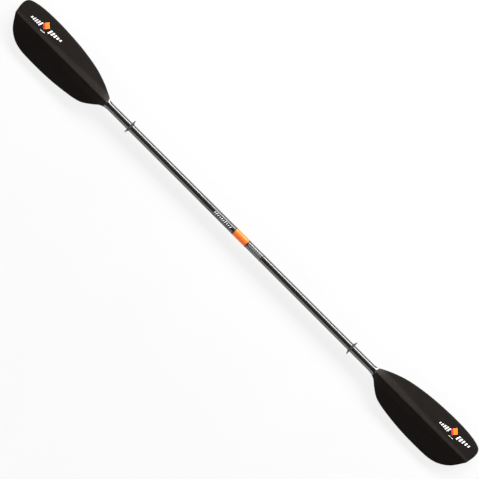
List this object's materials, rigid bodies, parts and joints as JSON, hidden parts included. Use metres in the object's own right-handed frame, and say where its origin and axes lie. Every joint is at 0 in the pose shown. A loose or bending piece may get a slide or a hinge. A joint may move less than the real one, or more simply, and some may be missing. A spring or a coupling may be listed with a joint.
{
  "type": "kayak paddle",
  "caption": "Two-piece double-bladed touring kayak paddle: carbon shaft with a snap-button ferrule, asymmetric dihedral blades and rubber drip rings.",
  "frame": {"origin": "on the shaft's axis, at the middle of the paddle's length", "axes": "+X along the shaft towards the right-hand blade, +Z out of the power faces, +Y towards the longer edge of each blade"},
  "size_m": [2.2, 0.1645, 0.0552],
  "materials": {
    "wound_carbon": "gloss",
    "carbon_filled_nylon": "matte moulded",
    "gloss_black_nylon": "gloss",
    "dark_rubber": "matte",
    "orange_sleeve": "satin",
    "red_brown_seal": "satin",
    "grey_glass_nylon": "satin",
    "black_trim": "matte",
    "closed_cell_foam": "matte",
    "spring_steel": "brushed",
    "steel_button": "polished",
    "black_plug": "matte",
    "socket_liner": "matte"
  },
  "bodies": {
    "left_half": {"left_blade": "carbon_filled_nylon", "left_neck_collar": "gloss_black_nylon", "left_shaft": "wound_carbon", "left_end_plug": "closed_cell_foam", "ferrule_socket": "socket_liner", "socket_plug": "closed_cell_foam", "ferrule_band": "orange_sleeve", "band_trim_left": "black_trim", "band_trim_right": "black_trim"},
    "seal": {"seal_ring": "red_brown_seal"},
    "right_half": {"right_blade": "carbon_filled_nylon", "right_neck_collar": "gloss_black_nylon", "right_shaft": "wound_carbon", "right_end_plug": "closed_cell_foam", "male_ferrule": "grey_glass_nylon", "spigot_cap": "black_plug", "button_leaf": "spring_steel"},
    "button": {"snap_button": "steel_button"},
    "left_ring": {"left_drip_ring": "dark_rubber"},
    "right_ring": {"right_drip_ring": "dark_rubber"}
  },
  "joints": [
    {"name": "pull_apart", "type": "slide", "parent": "left_half", "child": "seal", "axis": [1, 0, 0], "range_m": [0, 0.16]},
    {"name": "feather_turn", "type": "hinge", "parent": "seal", "child": "right_half", "pos_m": [0.101, 0, 0], "axis": [1, 0, 0], "range_deg": [-60, 60]},
    {"name": "button_travel", "type": "slide", "parent": "right_half", "child": "button", "axis": [0, 0, 1], "range_m": [-0.005, 0], "deforming": ["button_leaf"]},
    {"name": "left_ring_slide", "type": "slide", "parent": "left_half", "child": "left_ring", "axis": [1, 0, 0], "range_m": [-0.09, 0.16]},
    {"name": "right_ring_slide", "type": "slide", "parent": "right_half", "child": "right_ring", "axis": [-1, 0, 0], "range_m": [-0.09, 0.16]}
  ]
}
